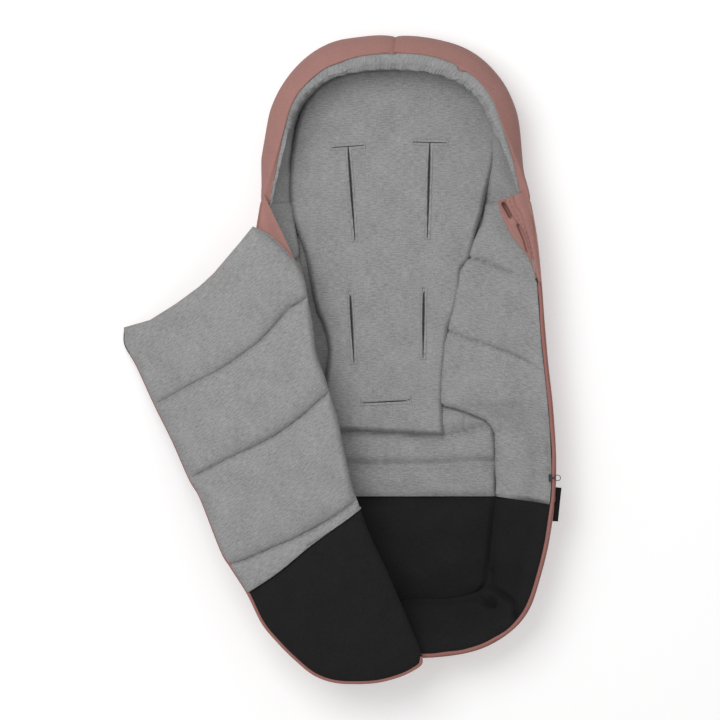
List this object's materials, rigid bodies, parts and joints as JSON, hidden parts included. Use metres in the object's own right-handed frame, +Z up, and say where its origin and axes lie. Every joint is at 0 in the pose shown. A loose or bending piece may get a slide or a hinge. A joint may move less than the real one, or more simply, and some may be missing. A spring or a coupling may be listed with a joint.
{
  "type": "stroller footmuff",
  "caption": "Padded stroller footmuff with a hood, harness slots and a quilted cover that folds open; zip slider and pull on the rim.",
  "frame": {"origin": "centre of the flat underside of the back panel, on which the footmuff lies", "axes": "+Y towards the hood, +Z up out of the open bag, +X to the right seen from above with the hood at the top"},
  "size_m": [0.6625, 0.9784, 0.1198],
  "materials": {
    "rose_fabric": "woven shell, matt",
    "rose_piping": "wrapped piping, matt",
    "grey_jersey": "melange jersey, matt",
    "black_fabric": "woven, matt",
    "wadding": "polyester wadding, inside",
    "elastic": "flat elastic, inside",
    "zip_tape": "woven tape",
    "zip_coil": "nylon coil",
    "zip_metal": "dark painted zinc",
    "label": "woven tape, folded"
  },
  "bodies": {
    "body": {"back_panel": "rose_fabric", "back_wadding": "wadding", "floor_lining": "grey_jersey", "toe_floor_lining": "black_fabric", "seat_pad_cover": "grey_jersey", "seat_pad_foam": "wadding", "slot_facing_upper_left": "grey_jersey", "slot_facing_upper_right": "grey_jersey", "slot_facing_lower_left": "grey_jersey", "slot_facing_lower_right": "grey_jersey", "slot_facing_crotch": "grey_jersey", "hood_shell_left": "rose_fabric", "hood_shell_right": "rose_fabric", "side_shell_left": "rose_fabric", "side_shell_right": "rose_fabric", "toe_shell": "rose_fabric", "hood_wadding": "wadding", "side_wadding_left": "wadding", "side_wadding_right": "wadding", "toe_wadding": "wadding", "collar_lining": "grey_jersey", "side_lining_left": "grey_jersey", "side_lining_right": "grey_jersey", "toe_lining": "black_fabric", "collar_elastic": "elastic", "rim_piping": "rose_piping", "zip_tape": "zip_tape", "zip_coil": "zip_coil", "zip_stop": "zip_metal", "zip_garage_leaf": "rose_fabric", "zip_garage_hem": "rose_fabric", "label_tag": "label", "cover_root_shell": "rose_fabric", "cover_root_wadding": "wadding", "cover_root_lining": "grey_jersey"},
    "cover": {"cover_shell": "rose_fabric", "cover_wadding": "wadding", "cover_lining": "grey_jersey", "cover_toe_lining": "black_fabric", "cover_piping": "rose_piping", "cover_zip_tape": "zip_tape"},
    "cover_side": {"cover_side_shell": "rose_fabric", "cover_side_wadding": "wadding", "cover_side_lining": "grey_jersey", "cover_side_piping": "rose_piping", "cover_side_zip_tape": "zip_tape", "cover_zip_pin": "zip_coil"},
    "slider": {"zip_slider": "zip_metal"},
    "pull": {"zip_puller": "zip_metal"}
  },
  "joints": [
    {"name": "cover_fold", "type": "hinge", "parent": "body", "child": "cover", "pos_m": [-0.1576, 0.126, 0.10155], "axis": [-0.3027, 0.9531, 0], "range_deg": [0, 180]},
    {"name": "cover_bend", "type": "hinge", "parent": "cover", "child": "cover_side", "pos_m": [-0.232, 0.152, 0.11975], "axis": [0.0286, 0.9996, 0], "range_deg": [0, 27]},
    {"name": "slider_travel", "type": "slide", "parent": "body", "child": "slider", "axis": [-0.0258, 0.9997, 0], "range_m": [0, 0.06]},
    {"name": "pull_swing", "type": "hinge", "parent": "slider", "child": "pull", "pos_m": [0.23151, -0.1982, 0.08795], "axis": [0.0258, -0.9997, 0], "range_deg": [0, 150]}
  ],
  "couplings": [
    {"joint": "cover_bend", "follows": "cover_fold", "ratio": 0.15}
  ]
}
